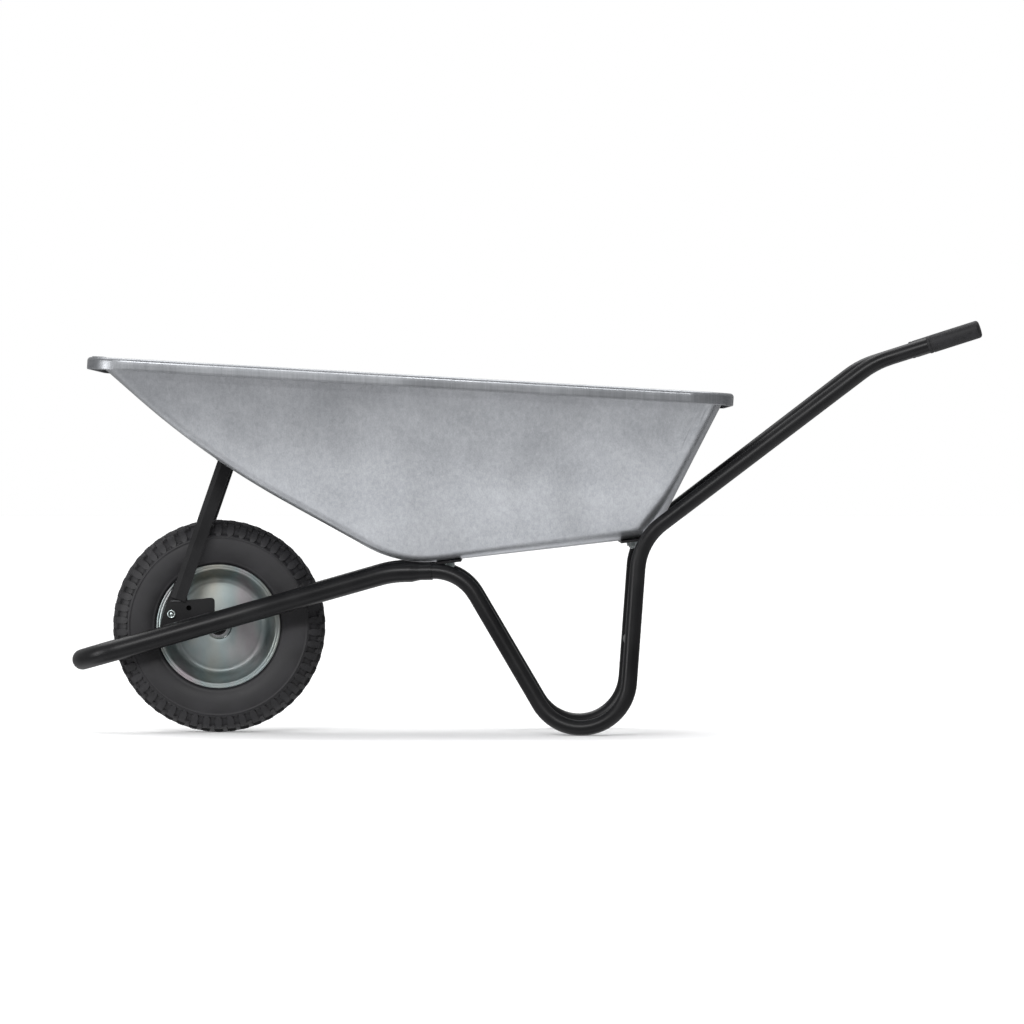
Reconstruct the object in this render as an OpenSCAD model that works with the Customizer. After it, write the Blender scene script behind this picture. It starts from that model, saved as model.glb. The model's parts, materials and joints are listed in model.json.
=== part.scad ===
// Builder's wheelbarrow: a galvanised tray on a bent tube frame with one pneumatic wheel.
// Millimetres. +Z is up, +X points back to the handles, -Y is the user's left side.
// The origin is under the centre of the whole barrow, on the ground.

/* [Overall] */
// Length from the front of the loop to the ends of the grips
overall_l = 1482; // [1470:1:1495]

/* [Wheel] */
// Outer diameter of the tyre
wheel_d = 350; // [346:1:352]
// Width of the tyre
tyre_w = 85; // [80:1:88]
// Distance from the front of the loop back to the axle
axle_setback = 241.7; // [238:0.1:246]
// Diameter of the rim's flange
rim_d = 204; // [200:1:206]
// Outside diameter of the hub tube
hub_d = 40; // [39:0.5:42]
// Diameter of the axle spindle
spindle_d = 15; // [15:0.5:16]

/* [Frame tubes] */
// Outside diameter of the front loop
loop_od = 33.7; // [32:0.1:34]
// Outside diameter of the leg and handle tubes
leg_od = 25; // [24:0.5:26]
// Wall of every tube
tube_wall = 2; // [1.5:0.1:2.5]
// Half the distance between the loop's two sides beside the wheel
loop_half_w = 78; // [77:0.5:82]
// Climb of the loop from the front to the hump
loop_angle = 15.9; // [15.5:0.1:16.2]
// Height of the loop's centre line above the axle
loop_over_axle = 8.9; // [8:0.1:10]
// Outward splay of each leg and handle tube
splay = 9; // [8.8:0.1:9.4]
// Half the distance between the two feet
foot_half_w = 187; // [186:1:190]
// How far the feet are behind the middle of the barrow
foot_x = 95; // [90:1:100]
// Bend radius at the foot and at the back of the hump
foot_bend_r = 80; // [76:1:84]
// Slope of the front leg
front_leg_angle = 59.3; // [58:0.1:60]
// Slope of the rear leg
rear_leg_angle = 85.8; // [85:0.1:87]
// Height of the bend above the rear leg
rear_bend_z = 317; // [314:1:320]
// Slope of the handle
handle_angle = 37; // [36:0.1:38]
// Distance from the feet back to the bend at the grip
grip_bend_back = 474; // [465:1:480]
// Slope of the grip
grip_angle = 17.5; // [16:0.5:19]

/* [Tray] */
// Half the width of the bowl at its rim
rim_half_w = 315; // [310:1:320]
// Width of the rolled rim outside the bowl
lip_w = 14; // [12:1:20]
// Width of the rim's flat lip at the front, where the rim is narrowest
lip_front_w = 7; // [6:1:10]
// Width of the rim's flat lip at the rear
lip_rear_w = 11; // [9:1:14]
// Height of the rolled rim's outer band
lip_h = 20; // [16:1:24]
// Thickness of the tray's sheet
sheet_t = 1.2; // [1:0.1:1.6]

/* [Grips] */
// Outside diameter of a grip
grip_d = 28.8; // [28:0.2:30]
// Length of a grip
grip_l = 88; // [80:1:100]

/* [Hidden] */
$fn = 72;

// Colours
black_paint = [0.10, 0.10, 0.11];
galvanised = [0.66, 0.68, 0.71];
zinc = [0.72, 0.74, 0.72];
bright_steel = [0.62, 0.63, 0.65];
rubber_black = [0.13, 0.13, 0.13];

// Small gaps: between pieces that touch, and to cut cleanly past a face
gap = 0.1;
eps = 0.5;

// ---- Places along the barrow ----
loop_r = loop_od / 2;
leg_r = leg_od / 2;
front_x = -overall_l / 2;
wheel_r = wheel_d / 2;
wheel_x = front_x + axle_setback;
loop_front_x = front_x + loop_r;
function loop_z(x) = wheel_r + loop_over_axle + (x - wheel_x) * tan(loop_angle);

// ---- Helpers for vectors and bent tubes ----
function unit(v) = v / norm(v);
function mid_perp(a) = unit(cross(a, abs(a.y) < 0.9 ? [0, 1, 0] : [1, 0, 0]));

// Matrix that puts the local axes x, y, z at a place
function frame_at(x, y, z, place) = [
    [x.x, y.x, z.x, place.x],
    [x.y, y.y, z.y, place.y],
    [x.z, y.z, z.z, place.z],
    [0, 0, 0, 1]
];

// Angle that a path turns through at its point i, and the length that the bend takes up there
function turn_at(p, i) = acos(unit(p[i] - p[i - 1]) * unit(p[i + 1] - p[i]));
function bend_len(p, r, i) = i == 0 || i == len(p) - 1 ? 0 : r[i] * tan(turn_at(p, i) / 2);

// Straight tube from one point to another; with no wall it is a solid bar
module straight_tube(from, to, od, wall) {
    along = unit(to - from);
    side = mid_perp(along);
    multmatrix(frame_at(side, cross(along, side), along, from))
        difference() {
            cylinder(d = od, h = norm(to - from));
            if (wall > 0)
                translate([0, 0, -eps])
                    cylinder(d = od - 2 * wall, h = norm(to - from) + 2 * eps);
        }
}

// Bending thickens a tube's wall a little; the straights reach this far into the bends
bend_swell = 0.06;
bend_overlap = 1;

// Bend of a tube at point i of a path
module bent_tube(p, r, i, od, wall) {
    a = unit(p[i] - p[i - 1]);
    b = unit(p[i + 1] - p[i]);
    n = unit(cross(a, b));
    start = p[i] - a * bend_len(p, r, i);
    centre = start + cross(n, a) * r[i];
    multmatrix(frame_at(-cross(n, a), a, n, centre))
        rotate_extrude(angle = turn_at(p, i))
            translate([r[i], 0])
                difference() {
                    circle(d = od + 2 * bend_swell);
                    if (wall > 0)
                        circle(d = od - 2 * wall - 2 * bend_swell);
                }
}

// A tube along corner points p, each rounded with its radius in r
module tube_path(p, r, od, wall) {
    last = len(p) - 2;
    for (i = [0 : last]) {
        along = unit(p[i + 1] - p[i]);
        straight_tube(
            p[i] + along * (bend_len(p, r, i) - (i == 0 ? 0 : bend_overlap)),
            p[i + 1] - along * (bend_len(p, r, i + 1) - (i == last ? 0 : bend_overlap)),
            od, wall
        );
    }
    for (i = [1 : len(p) - 2])
        bent_tube(p, r, i, od, wall);
}

// ---- Leg and handle tube, laid out in its own upright plane ----
// u runs back along the plane from the foot, z is the height; side is -1 on the left
function in_leg_plane(u, z, side) = [
    foot_x + u * cos(splay),
    side * (foot_half_w + u * sin(splay)),
    z
];
foot_turn = front_leg_angle + rear_leg_angle;
foot_corner_dir = unit([
    cos(front_leg_angle) - cos(rear_leg_angle),
    -sin(front_leg_angle) - sin(rear_leg_angle)
]);
foot_corner = [0, foot_bend_r + leg_r] + foot_corner_dir * foot_bend_r / cos(foot_turn / 2);

// Hump: nearly level, so that the tray's floor sits on it
hump_angle = 1.4;
hump_front_z = 265;
hump_front_x = wheel_x + (hump_front_z - loop_z(wheel_x)) / tan(loop_angle);
hump_front_u = (hump_front_x - foot_x) / cos(splay);
front_leg_run = tan(front_leg_angle);
hump_rear_u = (foot_corner.y + foot_corner.x * front_leg_run
    - hump_front_z + hump_front_u * tan(hump_angle)) / (front_leg_run + tan(hump_angle));
hump_rear_z = hump_front_z + (hump_rear_u - hump_front_u) * tan(hump_angle);

rear_bend_u = foot_corner.x + (rear_bend_z - foot_corner.y) / tan(rear_leg_angle);
grip_bend_u = grip_bend_back / cos(splay);
grip_bend_z = rear_bend_z + (grip_bend_u - rear_bend_u) * tan(handle_angle);

// The rounded end of the grip reaches past the middle of its end face by this much
grip_round = 5;
grip_end_t = 3;
grip_along_x = cos(grip_angle) * cos(splay);
grip_reach = grip_round * (1 - grip_along_x)
    + (grip_d / 2 - grip_round) * sqrt(1 - pow(grip_along_x, 2));
grip_end_u = (overall_l / 2 - grip_reach - foot_x) / cos(splay);
grip_end_z = grip_bend_z + (grip_end_u - grip_bend_u) * tan(grip_angle);

rear_bend_r = 100;
grip_bend_r = 150;
loop_bend_r = 160;

// The leg tube starts inside the loop's swaged end
joint_depth = 30;
hump_rear_bend = foot_bend_r * tan((front_leg_angle + hump_angle) / 2);
swage_end_u = hump_rear_u - (hump_rear_bend + 1) * cos(hump_angle);
function hump_point(u, side) =
    in_leg_plane(u, hump_front_z + (u - hump_front_u) * tan(hump_angle), side);

function leg_points(side) = [
    hump_point(swage_end_u - joint_depth, side),
    in_leg_plane(hump_rear_u, hump_rear_z, side),
    in_leg_plane(foot_corner.x, foot_corner.y, side),
    in_leg_plane(rear_bend_u, rear_bend_z, side),
    in_leg_plane(grip_bend_u, grip_bend_z, side),
    in_leg_plane(grip_end_u, grip_end_z, side)
        - grip_axis(side) * (grip_end_t + gap)
];
leg_bends = [0, foot_bend_r, foot_bend_r, rear_bend_r, grip_bend_r, 0];
function grip_axis(side) = [
    cos(grip_angle) * cos(splay), side * cos(grip_angle) * sin(splay), sin(grip_angle)
];

module leg_handle(side) {
    color(black_paint)
        tube_path(leg_points(side), leg_bends, leg_od, tube_wall);
}

// Both legs as solid bars a little too thick, for cutting other pieces to fit against them
module leg_cores() {
    for (side = [-1, 1])
        tube_path(leg_points(side), leg_bends, leg_od + 2 * gap, 0);
}

// ---- Front loop: one tube bent round the wheel, swaged down where the legs join ----
swage_l = 14;
sleeve_l = 20;
sleeve_wall = 1.5;
swage_overlap = 0.2;
loop_corner_r = 70;
loop_spread_x = -440;
loop_spread_r = 250;
sleeve_bore = leg_od + 2 * gap;

function loop_side_points(side) = [
    [loop_front_x, side * loop_half_w, loop_z(loop_front_x)],
    [loop_spread_x, side * loop_half_w, loop_z(loop_spread_x)],
    hump_point(hump_front_u, side),
    hump_point(swage_end_u - sleeve_l - swage_l + swage_overlap, side)
];
loop_points = concat(
    [for (i = [3 : -1 : 0]) loop_side_points(-1)[i]],
    loop_side_points(1)
);
loop_bends = [
    0, loop_bend_r, loop_spread_r, loop_corner_r,
    loop_corner_r, loop_spread_r, loop_bend_r, 0
];

module swaged_end(side) {
    from = hump_point(swage_end_u - sleeve_l - swage_l, side);
    to = hump_point(swage_end_u, side);
    along = unit(to - from);
    across = mid_perp(along);
    bore_r = sleeve_bore / 2;
    multmatrix(frame_at(across, cross(along, across), along, from))
        rotate_extrude()
            polygon([
                [loop_r - tube_wall - bend_swell, 0],
                [loop_r + bend_swell, 0],
                [bore_r + sleeve_wall, swage_l],
                [bore_r + sleeve_wall, swage_l + sleeve_l],
                [bore_r, swage_l + sleeve_l],
                [bore_r, swage_l]
            ]);
}

module front_loop() {
    color(black_paint) {
        tube_path(loop_points, loop_bends, loop_od, tube_wall);
        swaged_end(-1);
        swaged_end(1);
    }
}

// ---- Grips ----
module grip(side) {
    end = in_leg_plane(grip_end_u, grip_end_z, side);
    along = grip_axis(side);
    across = mid_perp(along);
    bore_d = leg_od + 2 * gap;
    color(rubber_black)
        multmatrix(frame_at(across, cross(along, across), along, end - along * grip_l))
            difference() {
                union() {
                    cylinder(d = grip_d, h = grip_l - grip_round);
                    rotate_extrude()
                        intersection() {
                            translate([grip_d / 2 - grip_round, grip_l - grip_round])
                                circle(r = grip_round);
                            translate([0, grip_l - grip_round])
                                square([grip_d / 2, grip_round]);
                        }
                    translate([0, 0, grip_l - grip_round])
                        cylinder(d = grip_d - 2 * grip_round, h = grip_round);
                }
                translate([0, 0, -eps])
                    cylinder(d = bore_d, h = grip_l - grip_end_t + eps);
            }
}

// ---- Tray ----
// The rim lies in a plane that drops to the rear
rim_z = 575.3;
rim_fall = 3.28;
mid_x = -14.4;
function rim_top(x) = rim_z - (x - mid_x) * tan(rim_fall);

// Side profile of the bowl's outside, front rim to rear rim, and the radius at each corner
tray_front_x = -696;
tray_rear_x = 331;
profile = [
    [tray_front_x, rim_top(tray_front_x)],
    [-516, 453.5],
    [-199, 275],
    [214, 322.7],
    [tray_rear_x, rim_top(tray_rear_x)]
];
profile_r = [0, 1300, 195, 38, 0];
// Radius of the bowl's edges at each corner of the profile
edge_r = [54, 26, 26, 38, 56];

// Outside half width of the bowl at a place in the side view
side_per_x = 0.03;
side_per_z = 0.54;
side_n = norm([side_per_x, 1, side_per_z]);
function side_w(p) = rim_half_w + side_per_x * (p.x - tray_rear_x)
    + side_per_z * (p.y - rim_top(tray_rear_x));

// Direction and inward normal of the profile's line after corner i
function line_dir(i) = unit(profile[i + 1] - profile[i]);
function inward(d) = [-d.y, d.x];
function fillet_centre(i) =
    let (a = line_dir(i - 1), b = line_dir(i), turn = acos(a * b))
    profile[i] + (unit(b - a)) * profile_r[i] / cos(turn / 2);

// Centres of the balls that round the bowl's edges, along the whole profile
bend_steps = 5;
rim_overshoot = 40;
edge_balls = concat(
    [[profile[0] - line_dir(0) * rim_overshoot + inward(line_dir(0)) * edge_r[0], edge_r[0]]],
    [for (i = [1 : 3], k = [0 : bend_steps])
        let (
            d = unit(line_dir(i - 1) * (bend_steps - k) + line_dir(i) * k),
            c = fillet_centre(i) - inward(d) * (profile_r[i] - edge_r[i])
        )
        if (profile_r[i] > edge_r[i] || k == 0) [c, edge_r[i]]
    ],
    [[profile[4] + line_dir(3) * rim_overshoot + inward(line_dir(3)) * edge_r[4], edge_r[4]]]
);

// The bowl as a solid; inset shrinks it by the sheet's thickness
module bowl(inset) {
    hull()
        for (b = edge_balls, side = [-1, 1])
            translate([b[0].x, side * (side_w(b[0]) - b[1] * side_n), b[0].y])
                sphere(r = b[1] - inset, $fn = 40);
}

// Places things in the rim's plane, with x along the fall and z up out of it
module in_rim_plane() {
    translate([mid_x, 0, rim_z])
        rotate([0, rim_fall, 0])
            children();
}

lip_corner_r = [70, 74];
lip_edge_r = 6;
lip_steps = 5;
lip_front = (tray_front_x - lip_front_w - mid_x) / cos(rim_fall);
lip_rear = (tray_rear_x + lip_rear_w - mid_x) / cos(rim_fall);
lip_half_w = rim_half_w + lip_w;

// The rim's band as a slab with a rounded top edge
module lip_slab(inset) {
    corners = [
        [lip_front + lip_corner_r[0], lip_corner_r[0]],
        [lip_rear - lip_corner_r[1], lip_corner_r[1]]
    ];
    hull()
        for (c = corners, side = [-1, 1], k = [0 : lip_steps])
            let (
                a = 90 * k / lip_steps,
                bottom = k == 0 ? lip_h - lip_edge_r + (inset > 0 ? eps : 0) : 0
            )
            translate([
                c[0],
                side * (lip_half_w - c[1]),
                (lip_edge_r - inset) * sin(a) - lip_edge_r - bottom
            ])
                cylinder(
                    r = c[1] - lip_edge_r + (lip_edge_r - inset) * cos(a),
                    h = k == 0 ? bottom + 0.01 : 0.01,
                    $fn = 48
                );
}

// Lets a thing reach only up to the rim's plane
module below_rim(top) {
    intersection() {
        children();
        in_rim_plane()
            translate([-1000, -500, -400 + top])
                cube([2000, 1000, 400]);
    }
}

module tray() {
    color(galvanised)
        difference() {
            union() {
                difference() {
                    below_rim(-0.01)
                        bowl(0);
                    bowl(sheet_t);
                }
                difference() {
                    in_rim_plane()
                        lip_slab(0);
                    in_rim_plane()
                        lip_slab(sheet_t);
                    bowl(sheet_t);
                }
            }
            at_tray_bolts()
                translate([0, 0, -eps])
                    cylinder(d = tray_bolt_hole, h = sheet_t + 2 * eps);
        }
}

// ---- What holds the tray ----
tray_bolt_d = 8;
tray_bolt_hole = 9;
strap_w = 40;
strap_t = 4;
floor_angle = atan2(line_dir(2).y, line_dir(2).x);
front_strap_x = -120;
rear_strap_x = 180;
front_bolt_y = 70;
rear_bolt_y = 95;
function floor_z(x) = profile[2].y + (x - profile[2].x) * tan(floor_angle);

// The front brace meets the curved front wall where the wall has this slope
brace_seat_angle = 34.3;
brace_seat_at = fillet_centre(1)
    - profile_r[1] * [sin(brace_seat_angle), cos(brace_seat_angle)];
brace_bolt_y = 38;

// Frames on the outside of the tray: z points into the bowl
module on_floor(x) {
    translate([x, 0, floor_z(x)])
        rotate([0, -floor_angle, 0])
            children();
}
module on_brace_seat() {
    translate([brace_seat_at.x, 0, brace_seat_at.y])
        rotate([0, brace_seat_angle, 0])
            children();
}
module at_tray_bolts() {
    for (side = [-1, 1]) {
        on_floor(front_strap_x)
            translate([0, side * front_bolt_y, 0])
                children();
        on_floor(rear_strap_x)
            translate([0, side * rear_bolt_y, 0])
                children();
        on_brace_seat()
            translate([0, side * brace_bolt_y, 0])
                children();
    }
}

// Flat cross straps under the floor: the front one lies across the leg tubes, the rear one
// stands between them, and both are cut to fit against the tubes
module cross_strap(x, half_l) {
    color(black_paint)
        difference() {
            on_floor(x)
                translate([-strap_w / 2, -half_l, -strap_t - gap])
                    cube([strap_w, 2 * half_l, strap_t]);
            at_tray_bolts()
                translate([0, 0, -3 * strap_t])
                    cylinder(d = tray_bolt_hole, h = 4 * strap_t);
            leg_cores();
        }
}
front_strap_half = 154;
rear_strap_half = 194;

// Round brace between the two rear legs
cross_brace_d = 20;
cross_brace_z = 150;
cross_brace_u = foot_corner.x + (cross_brace_z - foot_corner.y) / tan(rear_leg_angle);
module leg_cross_brace() {
    right = in_leg_plane(cross_brace_u, cross_brace_z, 1);
    color(black_paint)
        difference() {
            translate([right.x, -right.y, cross_brace_z])
                rotate([-90, 0, 0])
                    difference() {
                        cylinder(d = cross_brace_d, h = 2 * right.y);
                        translate([0, 0, -eps])
                            cylinder(d = cross_brace_d - 2 * tube_wall, h = 2 * right.y + 2 * eps);
                    }
            leg_cores();
        }
}

// ---- Front brace and axle brackets ----
gusset_t = 3;
bracket_t = 5;
bracket_in = 56;
bracket_out = bracket_in + bracket_t;
gusset_in = bracket_out;
gusset_out = gusset_in + gusset_t;
plate_bolt = [-575.4, 195.3];
plate_bolt_d = 8;
spare_hole = [-546.8, 205.4];
spare_hole_d = 8.5;
gusset_top = 249;
// The plate stands on the upper inner side of the loop's tube
gusset_on_tube = sqrt(pow(loop_r, 2) - pow(loop_half_w - gusset_out, 2)) + gap;
function gusset_foot(x) = [x, loop_z(x) + gusset_on_tube / cos(loop_angle)];

brace_foot = [-564.6, 219.5];
brace_w = 25;
brace_t = 3;
brace_fold_w = 9;
brace_fold_in = 2.9;
brace_y = gusset_out + brace_fold_in + gap;
brace_lean = atan2(brace_seat_at.x - brace_foot.x, brace_seat_at.y - brace_foot.y);
brace_l = norm(brace_seat_at - brace_foot);
seat_plate_l = 30;

// Extrudes a side-view outline between two distances from the barrow's middle
module side_plate(side, from, to) {
    mirror([0, side < 0 ? 1 : 0, 0])
        translate([0, to, 0])
            rotate([90, 0, 0])
                linear_extrude(height = to - from)
                    children();
}

gusset_corner_r = 6;
module gusset(side) {
    right_x = -504.4;
    shoulder = [-514, 222.2];
    color(black_paint)
        side_plate(side, gusset_in, gusset_out)
            difference() {
                polygon(concat(
                    [gusset_foot(-597), [-582.4, 217], [-569.8, gusset_top],
                        [-556, gusset_top], [-549, 218.2]],
                    [for (a = [90 : -15 : 0])
                        [right_x - gusset_corner_r, shoulder.y - gusset_corner_r]
                            + gusset_corner_r * [cos(a), sin(a)]],
                    [gusset_foot(right_x)]
                ));
                translate(plate_bolt)
                    circle(d = plate_bolt_d + 2 * gap);
                translate(spare_hole)
                    circle(d = spare_hole_d);
            }
}

bracket_eye_r = 12;
module axle_bracket(side) {
    axle = [wheel_x, wheel_r];
    color(black_paint)
        side_plate(side, bracket_in, bracket_out - gap / 2)
            difference() {
                hull() {
                    for (p = [plate_bolt, spare_hole, axle])
                        translate(p)
                            circle(r = bracket_eye_r);
                }
                translate(plate_bolt)
                    circle(d = plate_bolt_d + 2 * gap);
                translate(axle)
                    circle(d = spindle_d + gap);
            }
}

// One leg of the brace: a flat strip with its front edge folded in
module brace_leg(side) {
    flat_x = brace_fold_w - brace_w / 2;
    translate([brace_foot.x, 0, brace_foot.y])
        rotate([0, brace_lean, 0])
            linear_extrude(height = brace_l + brace_w / 2)
                polygon([
                    for (p = [
                        [-brace_w / 2, -brace_fold_in],
                        [flat_x, 0],
                        [brace_w / 2, 0],
                        [brace_w / 2, brace_t],
                        [flat_x - 1, brace_t],
                        [-brace_w / 2, brace_t - brace_fold_in]
                    ])
                        [p.x, side * (brace_y + p.y)]
                ]);
}
module front_brace() {
    color(black_paint)
        difference() {
            union() {
                brace_leg(-1);
                brace_leg(1);
                on_brace_seat()
                    translate([-seat_plate_l / 2, -brace_y - brace_t, -brace_t - gap])
                        cube([seat_plate_l, 2 * (brace_y + brace_t), brace_t]);
            }
            on_brace_seat()
                translate([-seat_plate_l, -2 * brace_y, -gap])
                    cube([2 * seat_plate_l, 4 * brace_y, brace_w]);
            at_tray_bolts()
                translate([0, 0, -3 * brace_t])
                    cylinder(d = tray_bolt_hole, h = 4 * brace_t);
        }
}

// ---- Fasteners ----
washer_t = 1.6;
nut_h = 6.5;
nut_flats = 13;
m8_hole_d = 8.4;
thread_past = 3;

module ring(outer_d, inner_d, h) {
    difference() {
        cylinder(d = outer_d, h = h);
        translate([0, 0, -eps])
            cylinder(d = inner_d, h = h + 2 * eps);
    }
}
module hex_nut() {
    difference() {
        cylinder(d = nut_flats / cos(30), h = nut_h, $fn = 6);
        translate([0, 0, -eps])
            cylinder(d = tray_bolt_d + gap, h = nut_h + 2 * eps);
    }
}

// Bracket bolts: local z points out to the side, from the bolt's seat on the gusset
bolt_grip = gusset_t + bracket_t;
module at_plate_bolts() {
    for (side = [-1, 1])
        mirror([0, side < 0 ? 1 : 0, 0])
            translate([plate_bolt.x, gusset_out + gap, plate_bolt.y])
                rotate([-90, 0, 0])
                    children();
}
plate_head_d = 14;
plate_head_h = 4.5;
module bracket_bolts() {
    color(zinc)
        at_plate_bolts() {
            difference() {
                union() {
                    cylinder(d = plate_head_d, h = plate_head_h - 1.5);
                    translate([0, 0, plate_head_h - 1.5])
                        cylinder(d1 = plate_head_d, d2 = plate_head_d - 3, h = 1.5);
                }
                translate([0, 0, plate_head_h - 2.5])
                    cylinder(d = 5 / cos(30), h = 3, $fn = 6);
            }
            translate([0, 0, -bolt_grip - washer_t - nut_h - thread_past])
                cylinder(d = plate_bolt_d, h = bolt_grip + washer_t + nut_h + thread_past);
        }
}
module bracket_washers() {
    color(zinc)
        at_plate_bolts()
            translate([0, 0, -bolt_grip - washer_t - 2 * gap])
                ring(16, m8_hole_d, washer_t);
}
module bracket_nuts() {
    color(zinc)
        at_plate_bolts()
            translate([0, 0, -bolt_grip - washer_t - nut_h - 3 * gap])
                hex_nut();
}

// Tray bolts: a wide low head inside the bowl, nut and washer under the strap; the head's gap
// leaves room for the curve of the front wall
tray_head_d = 20;
tray_head_h = 3;
tray_head_gap = 0.4;
tray_stack = strap_t + 2 * gap;
module tray_bolts() {
    color(zinc)
        at_tray_bolts() {
            translate([0, 0, sheet_t + tray_head_gap]) {
                cylinder(d = tray_head_d, h = 1);
                translate([0, 0, 1])
                    cylinder(d1 = tray_head_d, d2 = tray_head_d / 2, h = tray_head_h - 1);
            }
            translate([0, 0, -tray_stack - washer_t - nut_h - thread_past])
                cylinder(
                    d = tray_bolt_d,
                    h = tray_stack + washer_t + nut_h + thread_past + sheet_t + tray_head_gap
                );
        }
}
module tray_washers() {
    color(zinc)
        at_tray_bolts()
            translate([0, 0, -tray_stack - washer_t])
                ring(16, m8_hole_d, washer_t);
}
module tray_nuts() {
    color(zinc)
        at_tray_bolts()
            translate([0, 0, -tray_stack - washer_t - nut_h - gap])
                hex_nut();
}

// ---- Wheel: local z runs along the axle, out to the left ----
module at_axle() {
    translate([wheel_x, 0, wheel_r])
        rotate([90, 0, 0])
            children();
}
module to_side(side) {
    rotate([side < 0 ? 0 : 180, 0, 0])
        children();
}

// Deep groove ball bearings, 15 x 35 x 11
bearing_od = 35;
bearing_w = 11;
bearing_at = 40;
ball_d = 6;
ball_count = 8;
pitch_r = (bearing_od + spindle_d) / 4;
race_gap = 1.9;
groove_r = ball_d / 2 + 0.05;

module axle_spindle() {
    end_gap = 0.25;
    half_l = loop_half_w - loop_r - end_gap;
    color(bright_steel)
        at_axle()
            difference() {
                translate([0, 0, -half_l])
                    cylinder(d = spindle_d, h = 2 * half_l);
                for (side = [-1, 1])
                    to_side(side)
                        translate([0, 0, half_l - 4])
                            cylinder(d = 4, h = 4 + eps);
            }
}
module spacer(side) {
    color(zinc)
        at_axle()
            to_side(side)
                translate([0, 0, bearing_at + bearing_w / 2 + gap])
                    ring(20, spindle_d + gap, bracket_in - bearing_at - bearing_w / 2 - 2 * gap);
}
module bearing_sleeve() {
    half_l = bearing_at - bearing_w / 2 - gap;
    color(bright_steel)
        at_axle()
            translate([0, 0, -half_l])
                ring(20, spindle_d + 2 * gap, 2 * half_l);
}
module bearing_ring(side, inner, outer) {
    color(bright_steel)
        at_axle()
            to_side(side)
                translate([0, 0, bearing_at])
                    rotate_extrude()
                        difference() {
                            translate([inner, -bearing_w / 2])
                                square([outer - inner, bearing_w]);
                            translate([pitch_r, 0])
                                circle(r = groove_r);
                        }
}
module bearing_balls(side) {
    color(bright_steel)
        at_axle()
            to_side(side)
                for (k = [0 : ball_count - 1])
                    rotate([0, 0, k * 360 / ball_count])
                        translate([pitch_r, 0, bearing_at])
                            sphere(d = ball_d);
}
module bearing_cage(side) {
    cage_w = 8;
    cage_t = 1;
    color(bright_steel)
        at_axle()
            to_side(side)
                translate([0, 0, bearing_at])
                    difference() {
                        translate([0, 0, -cage_w / 2])
                            ring(2 * pitch_r + cage_t, 2 * pitch_r - cage_t, cage_w);
                        for (k = [0 : ball_count - 1])
                            rotate([0, 0, k * 360 / ball_count])
                                translate([pitch_r - cage_t, 0, 0])
                                    rotate([0, 90, 0])
                                        cylinder(d = ball_d + 2 * gap, h = 2 * cage_t);
                    }
}
module bearing_seals() {
    seal_t = 0.8;
    color(rubber_black)
        at_axle()
            for (side = [-1, 1], face = [-1, 1])
                to_side(side)
                    translate([0, 0, bearing_at + face * (bearing_w / 2 - seal_t) - seal_t / 2])
                        ring(
                            2 * (pitch_r + race_gap - gap),
                            2 * (pitch_r - race_gap + 3 * gap),
                            seal_t
                        );
}

hub_half_l = 46;
hub_bore = bearing_od + 0.06;
module hub_tube() {
    counterbore = hub_half_l - (bearing_at - bearing_w / 2) + gap;
    color(zinc)
        at_axle()
            difference() {
                translate([0, 0, -hub_half_l])
                    cylinder(d = hub_d, h = 2 * hub_half_l);
                translate([0, 0, -hub_half_l - eps])
                    cylinder(d = hub_bore - 5, h = 2 * hub_half_l + 2 * eps);
                for (side = [-1, 1])
                    to_side(side)
                        translate([0, 0, hub_half_l - counterbore])
                            cylinder(d = hub_bore, h = counterbore + eps);
            }
}

// A bent sheet's outline: a line of points thickened by half of t on each side
function line_normal(p, i) =
    let (
        a = unit(p[min(i + 1, len(p) - 1)] - p[max(i - 1, 0)])
    )
    [-a.y, a.x];
module sheet_outline(p, t) {
    polygon(concat(
        [for (i = [0 : len(p) - 1]) p[i] + line_normal(p, i) * t / 2],
        [for (i = [len(p) - 1 : -1 : 0]) p[i] - line_normal(p, i) * t / 2]
    ));
}

// Middle line of a rim half, hub to flange: [radius, distance from the wheel's middle]
rim_t = 2;
rim_line = [
    [hub_d / 2 + 0.9, 15.5], [26, 13.2], [36, 10.2], [66, 2.3], [70, 1.2], [74, 1.5],
    [78, 3.6], [81.5, 7.4], [84, 12], [86.2, 17.5], [88.3, 23.2], [91, 27.8],
    [94.6, 31.6], [98.2, 34.4], [rim_d / 2 - 0.9, 36]
];
valve_hole_d = 9;
module rim_half(side) {
    color(zinc)
        at_axle()
            difference() {
                to_side(side)
                    rotate_extrude($fn = 96)
                        sheet_outline(rim_line, rim_t);
                if (side > 0)
                    valve_axis()
                        translate([0, 0, 10])
                            cylinder(d = valve_hole_d, h = 12);
            }
}

// Cross-section of the tyre: a rounded oval about this radius
section_r = 132;
section_out = wheel_r - section_r;
oval_power = 2.4;
tyre_t = 6;
bead_inner_r = 91.5;
bead_half_gap = 16;
function oval(half_w, half_h, n) = [
    for (k = [0 : n - 1])
        let (a = 360 * k / n, c = cos(a), s = sin(a))
        [
            section_r + half_h * sign(s) * pow(abs(s), 2 / oval_power),
            half_w * sign(c) * pow(abs(c), 2 / oval_power)
        ]
];
module tyre() {
    color(rubber_black)
        at_axle()
            rotate_extrude($fn = 96)
                difference() {
                    polygon(oval(tyre_w / 2, section_out, 40));
                    polygon(oval(tyre_w / 2 - tyre_t, section_out - tyre_t, 32));
                    translate([bead_inner_r - 10, -tyre_w])
                        square([10, 2 * tyre_w]);
                    translate([bead_inner_r - 1, -bead_half_gap])
                        square([10, 2 * bead_half_gap]);
                }
}
tube_gap = 0.6;
inner_tube_t = 2;
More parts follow.
